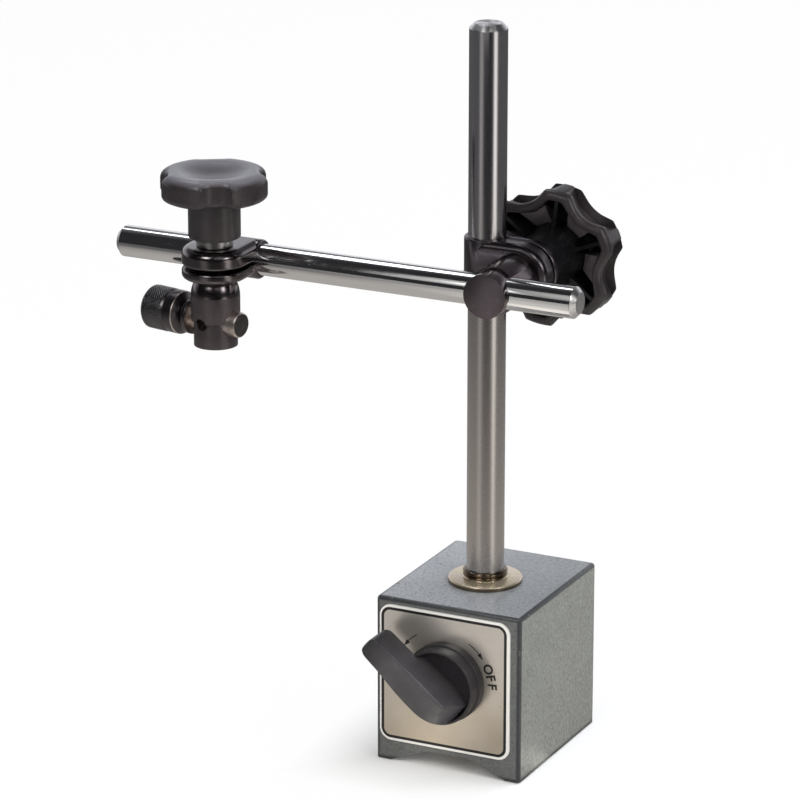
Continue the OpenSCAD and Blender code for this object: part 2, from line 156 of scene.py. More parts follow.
def axis_of(place, name):
    return place.add("ShaderNodeSeparateXYZ", None, {"Vector": place}, name)


def studio_table():
    """White where the table is empty; next to the block and in its groove it keeps the shadow."""
    _, place = stage_sheet("table", -0.0003, 4)
    across = place.math("ABSOLUTE", axis_of(place, "X")) - 0.025
    along = place.math("ABSOLUTE", axis_of(place, "Y")) - 0.029
    away = place.math("MAXIMUM", across, along)
    clear = away.rise(-0.002, 0.0) * (away.rise(0.0, 0.025) * 0.7 + 0.25)
    lit = place.add("ShaderNodeBsdfDiffuse", None, {"Color": (0.9, 0.9, 0.9, 1)})
    white = place.add("ShaderNodeEmission", None, {"Color": (1, 1, 1, 1), "Strength": 1})
    share = background_rays(place) * clear
    shown = place.add("ShaderNodeMixShader", None, {0: share, 1: lit, 2: white})
    place.add("ShaderNodeOutputMaterial", None, {"Surface": shown})


def only_mirrored(thing, place, glow):
    """Lets a thing of the stage shine in a colour, for reflections alone."""
    thing.visible_camera = False
    thing.visible_diffuse = False
    thing.visible_shadow = False
    thing.visible_transmission = False
    shown = place.add("ShaderNodeEmission", None, {"Color": glow, "Strength": 1})
    place.add("ShaderNodeOutputMaterial", None, {"Surface": shown})


def mirrored_table():
    """The table as the bars mirror it: two bright sectors beside the camera, dark between them."""
    sheet, place = stage_sheet("mirrored_table", -0.0001, 3)
    swing = math.radians(camera_swing)
    ahead = axis_of(place, "X") * math.sin(swing) - axis_of(place, "Y") * math.cos(swing)
    aside = axis_of(place, "X") * math.cos(swing) + axis_of(place, "Y") * math.sin(swing)
    swung = place.math("ARCTAN2", aside, ahead) * math.degrees(1)
    turn = place.math("ABSOLUTE", swung)
    sector = turn.rise(27, 38) - turn.rise(46, 58)
    away = place.add("ShaderNodeVectorMath", {"operation": "LENGTH"}, {0: place}, "Value")
    far = away.rise(0.2, 0.62)
    level = far.tint((0.41, 0.392, 0.374, 1), (0.11, 0.11, 0.113, 1))
    lit = turn.rise(16, 30) * (0.1 + far * 0.68) + 0.9 - far * 0.68
    middle = lit.tint((0.01, 0.01, 0.012, 1), level)
    right = swung.rise(-5, 5)
    left_bright = far.tint((0.6, 0.585, 0.57, 1), (0.44, 0.43, 0.42, 1))
    right_bright = far.tint((0.78, 0.76, 0.73, 1), (1.55, 1.52, 1.47, 1))
    banded = (sector * 0.9).tint(middle, right.tint(left_bright, right_bright))
    hot = ((turn.rise(37, 40) - turn.rise(43, 46)) * right * 0.5).tint(banded, (1.3, 1.28, 1.23, 1))
    glow = ((1 - away.rise(0.13, 0.18)) * sector).tint(hot, (0.92, 0.88, 0.82, 1))
    only_mirrored(sheet, place, glow)


def mirrored_room():
    """The dark room over the table as the metal mirrors it, pale low down behind the stand."""
    shape = bmesh.new()
    bmesh.ops.create_uvsphere(shape, u_segments=48, v_segments=24, radius=3.5)
    mesh = bpy.data.meshes.new("mirrored_room")
    shape.to_mesh(mesh)
    shape.free()
    dome, place = stage_thing("mirrored_room", mesh, 0.0)
    low = 1 - axis_of(place, "Z").rise(1.25, 1.7)
    behind = (axis_of(place, "Y") - axis_of(place, "X") * 0.5).rise(0.3, 2.2) * (low * 0.85 + 0.15)
    glow = behind.tint((0.022, 0.022, 0.024, 1), (0.85, 0.87, 0.92, 1))
    only_mirrored(dome, place, glow)


def turned_to_stand(spot):
    aim = Vector((-0.03, 0, 0.1)) - Vector(spot)
    return aim.to_track_quat("-Z", "Y").to_euler()


def soft_lamp(name, spot, size, power, colour, mirrored):
    """A square lamp that is either only mirrored or only lights the surfaces."""
    lamp = bpy.data.lights.new(name, "AREA")
    lamp.size = size
    lamp.energy = power
    lamp.color = colour
    thing = bpy.data.objects.new(name, lamp)
    thing.location = spot
    thing.rotation_euler = turned_to_stand(spot)
    thing.visible_glossy = mirrored
    thing.visible_diffuse = not mirrored
    scene.collection.objects.link(thing)


def mirrored_card(name, spot, wide, tall, bright, dim):
    """A soft box or card as the stand mirrors it: bright in the middle, dim towards its edges."""
    card, place = stage_sheet(name, 0.0, 0.5)
    card.location = spot
    card.rotation_euler = turned_to_stand(spot)
    card.scale = (wide, tall, 1)
    middle = place.add("ShaderNodeVectorMath", {"operation": "LENGTH"}, {0: place}, "Value")
    glow = middle.rise(0.12, 0.42).tint((bright, bright, bright, 1), (dim, dim, dim, 1))
    only_mirrored(card, place, glow)


studio_surround(0.34)
studio_table()
mirrored_table()
mirrored_room()
left_spot = (-0.2, -1.0, 0.95)
right_spot = (1.25, -0.5, 0.8)
warm_white = (1, 0.98, 0.95)
yellow_white = (1, 0.99, 0.92)
cool_white = (0.9, 0.94, 1)
soft_lamp("lamp_left", left_spot, 0.7, 4.5, warm_white, False)
soft_lamp("lamp_low", (0.1, -1.5, 0.3), 0.8, 5, warm_white, False)
soft_lamp("lamp_right", right_spot, 0.7, 11.3, yellow_white, False)
soft_lamp("lamp_top", (0.5, 0.5, 1.7), 0.9, 22, cool_white, False)
soft_lamp("lamp_far", (-0.82, 0.7, 1.7), 0.6, 3.2, cool_white, True)
mirrored_card("card_left", left_spot, 0.72, 0.72, 7, 0.45)
mirrored_card("card_right", right_spot, 0.7, 0.7, 6, 0.45)
mirrored_card("card_over", (0.66, -0.7, 1.2), 0.5, 0.5, 5, 0.6)
mirrored_card("card_near", (0.014, -0.12, 0.242), 0.09, 0.085, 0.5, 0.3)


# The magnetic block.
# Two cast iron poles with brass strips between them, ground together into one block with a V groove
# along the sole, and sprayed outside with grey hammertone paint, darker along its rounded edges.
mm = 0.001


def node_box(node):
    """Lowest corner, highest corner and middle of a CAD node, in millimetres."""
    low, high = (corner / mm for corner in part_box(node))
    return low, high, (low + high) / 2


def surface(name):
    """A new material and the place on its surface, in metres of the stand's own frame."""
    material = bpy.data.materials.new(name)
    material.use_nodes = True
    here = Shade(material.node_tree)
    return material, here.add("ShaderNodeTexCoord", None, None, "Object")


def dress(material, sockets):
    """Sets the values of the material's surface, or links what varies over it."""
    shader = material.node_tree.nodes["Principled BSDF"]
    for name, value in sockets.items():
        if isinstance(value, Shade):
            material.node_tree.links.new(value.socket, shader.inputs[name])
        else:
            shader.inputs[name].default_value = value
    return material


def noise(place, scale, detail=2, roughness=0.5):
    return place.add("ShaderNodeTexNoise", None,
                     {"Vector": place, "Scale": scale, "Detail": detail, "Roughness": roughness})


def combed(place, scales, detail=2, roughness=0.5):
    """Noise drawn out into fine lines, with its own scale along X, Y and Z."""
    drawn = place.add("ShaderNodeVectorMath", {"operation": "MULTIPLY"}, {0: place, 1: scales})
    return noise(drawn, 1, detail, roughness)


def bump(height, strength, depth):
    return height.add("ShaderNodeBump", None, {"Height": height, "Strength": strength, "Distance": depth})


def near_edge(place, low, high, thin, wide):
    """1 along the edges of a box given in millimetres, 0 further than wide from any of them."""
    spans = []
    for i, name in enumerate("XYZ"):
        half, middle = (high[i] - low[i]) / 2 * mm, (high[i] + low[i]) / 2 * mm
        spans.append(half - place.math("ABSOLUTE", axis_of(place, name) - middle))
    nearer = place.math("MINIMUM", spans[0], spans[1])
    further = place.math("MAXIMUM", spans[0], spans[1])
    second = place.math("MAXIMUM", nearer, place.math("MINIMUM", further, spans[2]))
    return 1 - second.rise(thin * mm, wide * mm)


def hammertone_paint(low, high):
    material, place = surface("hammertone_paint")
    cells = place.add("ShaderNodeTexVoronoi", {"feature": "SMOOTH_F1"},
                      {"Vector": place, "Scale": 900, "Smoothness": 0.7})
    dimples = cells.rise(0.15, 0.7)
    clouds = noise(place, 110, 4, 0.6).rise(0.35, 0.65)
    grain = noise(place, 1300, 3, 0.6)
    specks = place.add("ShaderNodeTexVoronoi", None, {"Vector": place, "Scale": 420})
    pits = (1 - specks.rise(0.1, 0.22)) * noise(place, 260, 2).rise(0.5, 0.62)
    # The paint is darkened in patches along the block's rounded edges.
    thin = near_edge(place, low, high, 0.9, 1.45) * noise(place, 500, 3).rise(0.15, 0.35)
    # Painted shade: the front face round the nameplate is painted darker than the rest of the block.
    front_face_shade = 1 - axis_of(place, "Y").rise((low.y + 0.1) * mm, (low.y + 0.5) * mm)
    # Painted light: the top face is painted paler and bluer than the sides, palest at the front left, with
    # darker streaks of dust.
    top_light_and_dust = axis_of(place, "Z").rise((high.z - 0.5) * mm, (high.z - 0.1) * mm)
    pale_front_left = 1 - (axis_of(place, "X") + axis_of(place, "Y") * 0.6).rise(-0.03, 0.03)
    base = clouds.tint((0.2, 0.209, 0.193, 1), (0.25, 0.258, 0.238, 1))
    mottled = (dimples * 0.5).tint(base, (0.32, 0.333, 0.315, 1))
    grainy = grain.rise(0.52, 0.68).tint(mottled, (0.145, 0.152, 0.15, 1))
    streaks = noise(place, 1000, 4, 0.65).rise(0.52, 0.66)
    top_light_tone = pale_front_left.tint((0.18, 0.189, 0.215, 1), (0.56, 0.58, 0.65, 1))
    top_light_streaked = streaks.tint(top_light_tone, (0.09, 0.1, 0.125, 1))
    topped = (top_light_and_dust * 0.55).tint(grainy, top_light_streaked)
    front_shaded = (front_face_shade * 0.6).tint(topped, (0.05, 0.052, 0.056, 1))
    pitted = (pits * 0.75).tint(front_shaded, (0.04, 0.045, 0.05, 1))
    return dress(material, {
        "Base Color": (thin * 0.92).tint(pitted, (0.03, 0.032, 0.036, 1)), "Metallic": 0.25,
        "Roughness": 0.42 - dimples * 0.12, "Normal": bump(dimples + grain * 0.5 - pits, 0.3, 0.00015),
        "Coat Weight": 0.3, "Coat Roughness": 0.25})


def ground_iron():
    material, place = surface("ground_iron")
    lines = combed(place, (9000, 120, 9000))
    return dress(material, {
        "Base Color": lines.tint((0.16, 0.16, 0.165, 1), (0.3, 0.3, 0.31, 1)), "Metallic": 1.0,
        "Roughness": 0.3 + lines * 0.25, "Normal": bump(lines, 0.15, 0.00005)})


def machined_brass(name, dark, pale):
    material, place = surface(name)
    lines = combed(place, (6000, 150, 6000))
    return dress(material, {
        "Base Color": lines.tint(dark, pale), "Metallic": 1.0,
        "Roughness": 0.28 + lines * 0.2, "Normal": bump(lines, 0.1, 0.00005)})


def finish_piece(name, mesh_maker, materials, sharp=35):
    """A smooth-shaded object from a bmesh in millimetres."""
    mesh = bpy.data.meshes.new(name)
    bmesh.ops.recalc_face_normals(mesh_maker, faces=mesh_maker.faces)
    bmesh.ops.transform(mesh_maker, matrix=Matrix.Scale(mm, 4), verts=mesh_maker.verts)
    mesh_maker.to_mesh(mesh)
    mesh_maker.free()
    for material in materials:
        mesh.materials.append(material)
    mesh.shade_smooth()
    mesh.set_sharp_from_angle(angle=math.radians(sharp))
    thing = bpy.data.objects.new(name, mesh)
    scene.collection.objects.link(thing)
    return thing


def round_edges(shape, edges, width, segments):
    bmesh.ops.bevel(
        shape, geom=edges, offset=width, segments=segments, profile=0.5, affect="EDGES", clamp_overlap=True)


def block_piece(paint, iron, brass):
    low, _, _ = node_box("pole_left")
    _, high, _ = node_box("pole_right")
    strip_low, strip_high, _ = node_box("separator_sole")
    half_roof, half_mouth, groove_depth = 7, 20, strip_low.z
    painted_edge, ground_edge = 1.2, 0.25
    outline = [
        (low.x, 0), (-half_mouth, 0), (-half_roof, groove_depth), (strip_low.x, groove_depth),
        (strip_high.x, groove_depth), (half_roof, groove_depth), (half_mouth, 0), (high.x, 0),
        (high.x, high.z), (low.x, high.z)]
    strip_wall = 3
    shape = bmesh.new()
    ends = [[shape.verts.new((x, y, z)) for x, z in outline] for y in (low.y, high.y)]
    shape.faces.new(ends[0])
    shape.faces.new(list(reversed(ends[1])))
    count = len(outline)
    for i in range(count):
        j = (i + 1) % count
        wall = shape.faces.new((ends[0][i], ends[1][i], ends[1][j], ends[0][j]))
        if outline[i][1] < high.z and outline[j][1] < high.z and abs(outline[j][0] - outline[i][0]) > 0:
            # The brass strip in the groove's roof takes the third material, a darkened brass that paints its
            # shade.
            wall.material_index = 2 if i == strip_wall else 1
    upright = [e for e in shape.edges if all(abs(abs(v.co.x) - high.x) < 0.01 for v in e.verts)]
    painted = [e for e in upright if abs(e.verts[0].co.z - e.verts[1].co.z) > 1]
    painted += [e for e in shape.edges if all(v.co.z > high.z - 0.01 for v in e.verts)]
    round_edges(shape, painted, painted_edge, 5)
    sole = [e for e in shape.edges if all(v.co.z < groove_depth + 0.1 for v in e.verts)]
    round_edges(shape, [e for e in sole if e.calc_face_angle(0) > 0.3], ground_edge, 2)
    return finish_piece("painted_block", shape, (paint, iron, brass), 40)


paint = hammertone_paint(node_box("pole_left")[0], node_box("pole_right")[1])
brass = machined_brass("machined_brass", (0.5, 0.35, 0.14, 1), (0.66, 0.49, 0.22, 1))
# Painted shade: a darkened copy of the brass for the strip in the groove's roof, where shade falls.
shaded_brass = machined_brass("shaded_brass", (0.09, 0.075, 0.05, 1), (0.15, 0.13, 0.095, 1))
block = block_piece(paint, ground_iron(), shaded_brass)
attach(block, "base")
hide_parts("pole_left", "pole_right", "separator_top", "separator_sole", "rear_plug")
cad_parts["front_bearing"].material_slots[0].material = brass


# The nameplate.
# A thin champagne-coloured aluminium sheet glued to the front of the block, brushed lengthwise,
# with a black printed frame, a bare bright margin and the switch marks printed on it.
def brushed_plate(low, high, middle):
    material, place = surface("brushed_plate")
    half_wide, half_tall = (high.x - low.x) / 2, (high.z - low.z) / 2
    corner, shift, line_start, line_end, soft = 4, -0.25, 0.75, 1.7, 0.1
    across = place.math("ABSOLUTE", axis_of(place, "X") - (middle.x + shift) * mm) - (half_wide - corner) * mm
    upward = place.math("ABSOLUTE", axis_of(place, "Z") - middle.z * mm) - (half_tall - corner) * mm
    inner = place.math("MINIMUM", place.math("MAXIMUM", across, upward), 0.0)
    outer = (place.math("MAXIMUM", across, 0.0) ** 2 + place.math("MAXIMUM", upward, 0.0) ** 2) ** 0.5
    inset = (corner * mm - outer) - inner
    framing = inset.rise(line_start * mm, (line_start + soft) * mm)
    line = framing - inset.rise(line_end * mm, (line_end + soft) * mm)
    margin = 1 - framing
    brushing = combed(place, (260, 9000, 9000), 3, 0.6)
    tarnish = noise(place, 70, 3).rise(0.35, 0.7)
    # Painted reflection: the sheet is painted whiter towards the top and warmer towards the bottom, for the
    # surround it mirrors.
    rise = axis_of(place, "Z").rise((low.z + 5) * mm, (high.z - 5) * mm)
    reflection_gradient = rise.tint((0.61, 0.52, 0.4, 1), (0.72, 0.675, 0.63, 1))
    sheet = (brushing * 0.4).tint(reflection_gradient, (0.5, 0.46, 0.4, 1))
    aged = (tarnish * 0.25).tint(sheet, (0.86, 0.83, 0.78, 1))
    framed = margin.tint(aged, (0.88, 0.86, 0.83, 1))
    return dress(material, {
        "Base Color": line.tint(framed, (0.005, 0.005, 0.005, 1)),
        "Metallic": 0.85 - line * 0.85 - margin * 0.5,
        "Roughness": 0.24 + brushing * 0.12, "Normal": bump(brushing, 0.1, 0.00004)})


def printed_ink():
    material, place = surface("printed_ink")
    worn = noise(place, 1800, 2).rise(0.62, 0.75)
    return dress(material, {
        "Base Color": (worn * 0.3).tint((0.012, 0.011, 0.011, 1), (0.12, 0.11, 0.1, 1)),
        "Roughness": 0.45 + worn * 0.2})


def curved_arrow(shape, middle, radius, start, end, front):
    """An arc with a pointed head at its end, angles in degrees, as a thin raised print."""
    width, barb_width, head, count = 0.3, 1.5, 8, 14
    way = 1 if end > start else -1
    stop = end - way * head

    def spot(reach, angle):
        turn = math.radians(angle)
        return (middle.x + reach * math.cos(turn), front, middle.z + reach * math.sin(turn))

    angles = [start + (stop - start) * i / count for i in range(count + 1)]
    edges = (radius - width / 2, radius + width / 2)
    rows = [[shape.verts.new(spot(reach, angle)) for reach in edges] for angle in angles]
    for near, far in zip(rows, rows[1:]):
        shape.faces.new((near[0], near[1], far[1], far[0]))
    barb = [shape.verts.new(spot(radius + side * barb_width, stop)) for side in (-0.5, 0.5)]
    shape.faces.new((barb[0], barb[1], shape.verts.new(spot(radius, end))))


def curved_word(shape, middle, radius, angle, word, tall, front):
    """Letters set round the switch, their tops outward."""
    pitch = math.degrees(tall * 0.92 / radius)
    for i, letter in enumerate(word):
        text = bpy.data.curves.new("letter", "FONT")
        text.body = letter
        text.size = tall * 1.38
        text.align_x = "CENTER"
        text.align_y = "CENTER"
        text.offset = tall * 0.045
        holder = bpy.data.objects.new("letter", text)
        flat = bpy.data.meshes.new_from_object(holder)
        turn = math.radians(angle - pitch * (i - (len(word) - 1) / 2))
        spot = Vector((middle.x + radius * math.cos(turn), front, middle.z + radius * math.sin(turn)))
        upright = Matrix.Rotation(math.pi / 2, 4, "X")
        flat.transform(Matrix.Translation(spot) @ Matrix.Rotation(math.pi / 2 - turn, 4, "Y") @ upright)
        shape.from_mesh(flat)
        bpy.data.objects.remove(holder)
        bpy.data.curves.remove(text)
        bpy.data.meshes.remove(flat)


def switch_marks(ink):
    low, _, middle = node_box("nameplate")
    raised = 0.02
    shape = bmesh.new()
    ring = Vector((-0.8, 0, middle.z))
    word_ring, letter = 16.4, 3.1
    curved_arrow(shape, ring, 16.5, 59.5, 36, low.y)
    curved_arrow(shape, ring, 17.3, 124, 145, low.y)
    curved_word(shape, ring, word_ring, 14.5, "OFF", letter, low.y)
    curved_word(shape, ring, word_ring, 163, "ON", letter, low.y)
    solid = bmesh.ops.extrude_face_region(shape, geom=shape.faces[:])
    lifted = [v for v in solid["geom"] if isinstance(v, bmesh.types.BMVert)]
    bmesh.ops.translate(shape, vec=(0, -raised, 0), verts=lifted)
    return finish_piece("switch_marks", shape, (ink,))


low, high, middle = node_box("nameplate")
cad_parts["nameplate"].material_slots[0].material = brushed_plate(low, high, middle)
marks = switch_marks(printed_ink())
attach(marks, "base")


# The switch.
# One black moulding: a dished round skirt with a step in its wall, and across it a ridged lever
# whose one cheek slopes to the skirt's rim. It is pressed on the shaft of the magnet's rotor,
# which lies inside the block with its stop pin.
def rounded(points, steps=4):
    """An outline of (across, along, round) points with its corners rounded by arcs."""
    path = []
    for i, (x, y, radius) in enumerate(points):
        here = Vector((x, y))
        if radius == 0:
            path.append((x, y))
            continue
        back = (Vector(points[i - 1][:2]) - here).normalized()
        ahead = (Vector(points[(i + 1) % len(points)][:2]) - here).normalized()
        half = back.angle(ahead) / 2
        centre = here + (back + ahead).normalized() * (radius / math.sin(half))
        start, end = (here + side * (radius / math.tan(half)) - centre for side in (back, ahead))
        for k in range(steps + 1):
            arm = start.lerp(end, k / steps).normalized() * radius
            path.append(tuple(centre + arm))
    return path


def circle(radius, height, count=96):
    """Points of a ring round Z, or the one point on the axis."""
    if radius < 1e-6:
        return [Vector((0, 0, height))]
    turns = (2 * math.pi * i / count for i in range(count))
    return [Vector((radius * math.cos(t), radius * math.sin(t), height)) for t in turns]


def stack(shape, rings, where, closed=False, second=()):
    """Skins rings of points laid one after the other; the bands in second get the other material."""
    rows = [[shape.verts.new(where @ point) for point in ring] for ring in rings]
    count = max(len(row) for row in rows)
    nexts = rows[1:] + rows[:1] if closed else rows[1:]
    for band, (near, far) in enumerate(zip(rows, nexts)):
        for i in range(count):
            j = (i + 1) % count
            corners = (near[i % len(near)], near[j % len(near)], far[j % len(far)], far[i % len(far)])
            face = shape.faces.new(list(dict.fromkeys(corners)))
            face.material_index = 1 if band in second else 0


def turned(name, path, where, material, closed=False):
    """A piece turned from a path of (radius, height) points."""
    shape = bmesh.new()
    stack(shape, [circle(radius, height) for radius, height in path], where, closed)
    return finish_piece(name, shape, (material,))


def moulded_black(name, dark, pale, rough, way=(0, 0, 0), end=1, fade=0.001, painted_end_tone=(0, 0, 0, 1)):
    """Black plastic whose colour goes over to a painted end tone towards its end in one way: painted shade on
    the lever's tip, painted top light on the top knob.
    """
    material, place = surface(name)
    along = place.add("ShaderNodeVectorMath", {"operation": "DOT_PRODUCT"}, {0: place, 1: way}, "Value")
    # The share of the painted end tone: 0 before the fade, 1 at the end.
    handled = along.rise(end - fade, end)
    grain = noise(place, 2600, 2)
    sheen = noise(place, 140, 3).rise(0.35, 0.7)
    rubbed = noise(place, 420, 4).rise(0.6, 0.8)
    tone = (handled * 0.7).tint(sheen.tint(dark, pale), painted_end_tone)
    return dress(material, {
        "Base Color": (rubbed * 0.12).tint(tone, (0.1, 0.095, 0.095, 1)),
        "Roughness": rough + grain * 0.1 - sheen * 0.05, "Normal": bump(grain, 0.08, 0.00005)})


def switch_foot():
    """Where the rotor's axis leaves the nameplate."""
    return Vector((0, node_box("switch_knob")[1].y, node_box("rotor_shaft")[2].z))


def switch_skirt(black):
    wide, rim, tall, step, lip, floor = 12.9, 12.3, 7.5, 3, 0.8, 2.5
    path = rounded([
        (0, 0, 0), (wide, 0, 0), (wide, step, 0.25), (rim - 0.2, step + 0.2, 0.1),
        (rim + 0.1, step + 0.7, 0.15), (rim, tall, 0.4), (rim - lip, tall, 0.3),
        (rim - 2, floor + 0.9, 1.8), (0, floor, 0)])
    facing_front = Matrix.Translation(switch_foot()) @ Matrix.Rotation(math.pi / 2, 4, "X")
    return turned("switch_skirt", path, facing_front, black)


lever_turn = math.radians(141)
lever_way = Vector((math.cos(lever_turn), 0, math.sin(lever_turn)))
lever_reach = 24.9


def switch_lever(black):
    """The lever, lofted along its length: a ridge, and a cheek that slopes down to the skirt's rim."""
    ridge, tall, wide, taper, taper_start = -2.6, 17, 5.8, 0.05, 5
    tail, shoulder, tail_slope, tip = -10.4, -6.45, 2.53, 3
    rim, rim_height, under, dish_floor = 12.2, 7.7, 6.8, 2.4
    cheek_start, cheek_length, flare, skirt_end = 7, 10, 0.7, 11.9
    aside = Vector((-lever_way.z, 0, lever_way.x))
    foot = switch_foot()

    def section(at, drop=0, corner=0):
        """One cross-section; drop lowers its top and corner narrows it at the lever's tip."""
        top = min(tall, under + 0.2 + (at - tail) * tail_slope) - drop
        share = min(max((at - cheek_start) / cheek_length, 0), 1)
        share = share * share * (3 - 2 * share)
        low = min(rim_height + (tall - rim_height) * share, top + drop) - drop
        edge = math.sqrt(max(rim ** 2 - at ** 2, 0))
        if at > 0:
            edge = max(edge, wide - taper * max(at - taper_start, 0) + (tall - drop - low) * flare)
        edge -= corner * 0.7
        floor = under if at > skirt_end else dish_floor
        corners = [(ridge + corner, floor, 0), (ridge + corner, top, 0.7), (edge, low, 0.6),
                   (edge, min(under + 0.1, low - 1), 0)]
        return [Vector((a, v, at)) for a, v in rounded(corners)]

    stations = [tail + (shoulder - tail) * k / 4 for k in range(5)] + [k * 0.8 - 5.6 for k in range(35)]
    rings = [section(at) for at in stations]
    for step in range(1, 7):
        swing = math.radians(15 * step)
        drop = 0.4 * max(step - 4, 0)
        rings.append(section(lever_reach - tip + tip * math.sin(swing), drop, tip - tip * math.cos(swing)))
    caps = [[sum(ring, Vector()) / len(ring)] for ring in (rings[0], rings[-1])]
    where = Matrix((
        (aside.x, 0, lever_way.x, foot.x), (0, -1, 0, foot.y),
        (aside.z, 0, lever_way.z, foot.z), (0, 0, 0, 1)))
    shape = bmesh.new()
    stack(shape, [caps[0]] + rings + [caps[1]], where)
    return finish_piece("switch_lever", shape, (black,), 30)


def dark_magnet():
    material, place = surface("dark_magnet")
    grit = noise(place, 1400, 3)
    return dress(material, {
        "Base Color": grit.tint((0.05, 0.05, 0.052, 1), (0.12, 0.118, 0.115, 1)), "Metallic": 0.3,
        "Roughness": 0.5 + grit * 0.25, "Normal": bump(grit, 0.3, 0.0001)})


def turned_steel():
    material, place = surface("turned_steel")
    marks = combed(place, (300, 8000, 300))
    return dress(material, {
        "Base Color": marks.tint((0.4, 0.39, 0.38, 1), (0.58, 0.57, 0.55, 1)), "Metallic": 1.0,
        "Roughness": 0.25 + marks * 0.2, "Normal": bump(marks, 0.12, 0.00005)})


# Painted light and shade: lever and skirt are one moulding, but the lever gets a lighter copy of the black
# and the skirt a darker one, and the lever's black darkens over its last 11 mm towards the tip.
lever_end = (switch_foot().dot(lever_way) + lever_reach - 0.2) * mm
lit_lever_black = moulded_black(
    "lit_lever_black", (0.042, 0.0386, 0.043, 1), (0.059, 0.054, 0.06, 1), 0.33,
    lever_way, lever_end, 11 * mm, (0.005, 0.005, 0.0055, 1))
shaded_skirt_black = moulded_black("shaded_skirt_black", (0.019, 0.0172, 0.0195, 1), (0.028, 0.0255, 0.028, 1), 0.3)
skirt = switch_skirt(shaded_skirt_black)
lever = switch_lever(lit_lever_black)
for piece in (skirt, lever):
    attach(piece, "switch")
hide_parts("switch_knob")
steel = turned_steel()
for node in ("rotor_shaft", "rotor_segments", "rotor_cap", "stop_pin"):
    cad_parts[node].material_slots[0].material = steel
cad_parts["rotor_magnet"].material_slots[0].material = dark_magnet()


# The column.
# A ground steel bar, chamfered at the top, that stands in a yellow plated collar on the block.
# The collar is turned: a thin flange, a short neck and two round beads.
def ground_steel():
    material, place = surface("ground_steel")
    grinding = combed(place, (1500, 1500, 22000))
    smear = combed(place, (260, 260, 18), 3)
    handled = axis_of(place, "Z").rise(0.15, 0.19)
    dull = (1 - handled) * 0.7 + smear * 0.3
    tone = dull.tint((0.62, 0.6, 0.63, 1), (0.66, 0.61, 0.57, 1))
    return dress(material, {
        "Base Color": (grinding * 0.3).tint(tone, (0.42, 0.4, 0.39, 1)), "Metallic": 1.0,
        "Roughness": 0.13 + dull * 0.14 + grinding * 0.05, "Normal": bump(grinding, 0.05, 0.00003)})


def turned_end(name, node, ways, stretch):
    """The lathe's rings on the end of a bar, in the plane of the two given axes."""
    material, place = surface(name)
    middle = node_box(node)[2] * mm
    across, along = (axis_of(place, way) - middle["XYZ".index(way)] for way in ways)
    rings = place.math("SINE", (across ** 2 + along ** 2) ** 0.5 * 42000)
    scuffs = noise(place, 900, 3).rise(0.45, 0.7)
    return dress(material, {
        "Base Color": (scuffs * 0.4).tint((0.78, 0.77, 0.76, 1), (0.5, 0.49, 0.48, 1)), "Metallic": 1.0,
        "Anisotropic": stretch, "Anisotropic Rotation": 0.25,
        "Roughness": 0.34 + scuffs * 0.1, "Normal": bump(rings, 0.06, 0.00003)})


def yellow_zinc():
    material, place = surface("yellow_zinc")
    lathe = combed(place, (900, 900, 7000))
    stain = noise(place, 260, 3).rise(0.35, 0.7)
    height = axis_of(place, "Z")
    # Painted reflection: the flange's rim and the neck are painted dark brown for the dark room they mirror;
    # the flange's top keeps the pale plating colour.
    neck = height.rise(0.0567, 0.057)
    wall = 1 - height.rise(0.0559, 0.0563)
    flange = stain.tint((0.8, 0.66, 0.55, 1), (0.76, 0.68, 0.46, 1))
    tone = (wall + neck).tint(flange, (0.2, 0.155, 0.115, 1))
    return dress(material, {
        "Base Color": (lathe * 0.2).tint(tone, (0.3, 0.24, 0.15, 1)),
        "Metallic": 0.8 + (wall + neck) * 0.2,
        "Roughness": 0.22 + lathe * 0.06 - neck * 0.1, "Normal": bump(lathe, 0.06, 0.00004)})


def column_piece(steel, end):
    low, high, middle = node_box("column")
    bar, spigot, seat, chamfer, edge, first_end_band = 6, 4, 55, 1.6, 0.25, 8
    path = rounded([
        (0, low.z, 0), (spigot, low.z, 0), (spigot, seat, 0), (bar, seat, 0), (bar, high.z - chamfer, edge),
        (bar - chamfer, high.z, edge), (bar / 2, high.z, 0), (0, high.z, 0)])
    shape = bmesh.new()
    rings = [circle(radius, height) for radius, height in path]
    where = Matrix.Translation((middle.x, middle.y, 0))
    stack(shape, rings, where, False, range(first_end_band, len(rings)))
    return finish_piece("column_bar", shape, (steel, end))


def collar_piece(zinc):
    low, high, middle = node_box("column_collar")
    bore, neck, bead = 6.06, 6.7, 0.45
    flange, thick = (high.x - low.x) / 2, 1.6
    path = rounded([
        (bore, low.z, 0), (flange, low.z, 0.15), (flange, low.z + thick, 0.4),
        (neck + 0.1, low.z + thick, 0.3), (neck, low.z + 2, 0)])
    for height in (high.z - 4 * bead, high.z - bead - 0.1):
        turns = (math.pi * (i / 8 - 0.5) for i in range(9))
        path += [(neck + bead * math.cos(t), height + bead * math.sin(t)) for t in turns]
    path += rounded([(neck, high.z - 0.1, 0), (neck - 0.15, high.z, 0.05), (bore, high.z, 0)])
    return turned("column_collar_ring", path, Matrix.Translation((middle.x, middle.y, 0)), zinc, True)


column = column_piece(ground_steel(), turned_end("column_end", "column", "XY", 0.85))
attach(column, "column")
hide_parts("column")
collar = collar_piece(yellow_zinc())
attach(collar, "base")
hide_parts("column_collar")


